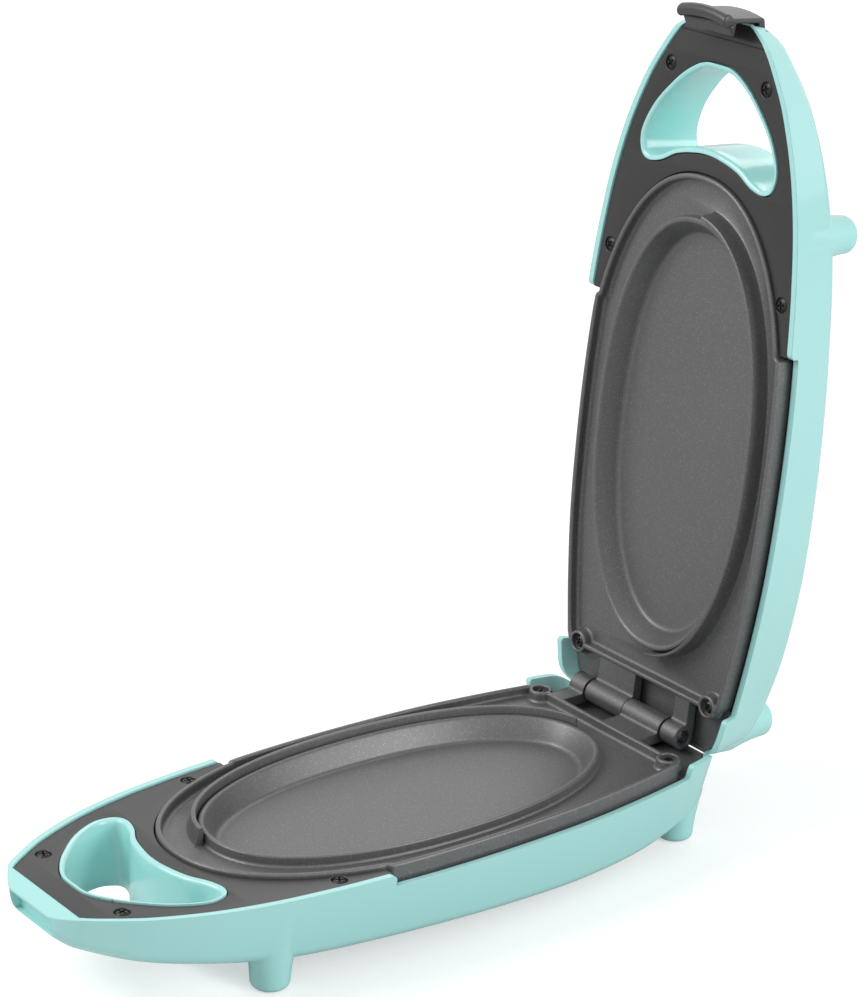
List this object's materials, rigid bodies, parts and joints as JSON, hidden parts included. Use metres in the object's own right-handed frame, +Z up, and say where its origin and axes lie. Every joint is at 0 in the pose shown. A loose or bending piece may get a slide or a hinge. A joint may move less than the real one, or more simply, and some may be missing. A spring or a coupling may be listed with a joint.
{
  "type": "electric omelette maker",
  "caption": "Electric omelette maker with boat-shaped mint halves hinged at the rear, oval non-stick cavities, handle holes at the nose and a latch clip, its lid open.",
  "frame": {"origin": "on the surface that the feet rest on, under the middle of the open part", "axes": "+Z up; -Y towards the nose of the base, where the user stands; X across the body, along the hinge"},
  "size_m": [0.1324, 0.3786, 0.3647],
  "materials": {
    "mint_plastic": "glossy moulded plastic",
    "charcoal_plastic": "satin moulded plastic",
    "nonstick_casting": "dark speckled non-stick coat on a casting",
    "black_steel": "blackened steel",
    "steel": "plain steel",
    "galvanised": "dull zinc coat",
    "ceramic": "matt ceramic",
    "sleeve": "glass-fibre sleeve",
    "brass": "plain brass",
    "black_rubber": "matt rubber",
    "pin_steel": "ground steel",
    "board": "lacquered board",
    "lamp_glass": "clear lamp glass",
    "red_lens": "clear red plastic"
  },
  "bodies": {
    "base": {"base_shell": "mint_plastic", "base_nose_panel": "charcoal_plastic", "base_plate": "nonstick_casting", "base_plate_screws": "black_steel", "base_panel_screws": "black_steel", "base_heating_element": "steel", "base_clamp_bars": "galvanised", "base_bar_screws": "steel", "base_heat_shield": "galvanised", "base_shield_screws": "steel", "base_thermostat": "ceramic", "thermal_fuse": "sleeve", "terminal_block": "ceramic", "terminal_screws": "brass", "inlet_bush": "black_rubber", "base_leads": "sleeve", "hinge_pin": "pin_steel"},
    "lid": {"lid_shell": "mint_plastic", "lid_nose_panel": "charcoal_plastic", "lid_plate": "nonstick_casting", "lid_plate_screws": "black_steel", "lid_panel_screws": "black_steel", "lid_heating_element": "steel", "lid_clamp_bars": "galvanised", "lid_bar_screws": "steel", "lid_heat_shield": "galvanised", "lid_shield_screws": "steel", "lid_thermostat": "ceramic", "lamp_board": "board", "indicator_lamps": "lamp_glass", "indicator_lenses": "red_lens", "lid_leads": "sleeve", "latch_pin": "pin_steel"},
    "latch": {"latch_clip": "charcoal_plastic"}
  },
  "joints": [
    {"name": "lid_hinge", "type": "hinge", "parent": "base", "child": "lid", "pos_m": [0, 0.12329, 0.0467], "axis": [1, 0, 0], "range_deg": [0, 94.8]},
    {"name": "latch_pivot", "type": "hinge", "parent": "lid", "child": "latch", "pos_m": [0, 0.15831, 0.35385], "axis": [-1, 0, 0], "range_deg": [0, 35]}
  ]
}
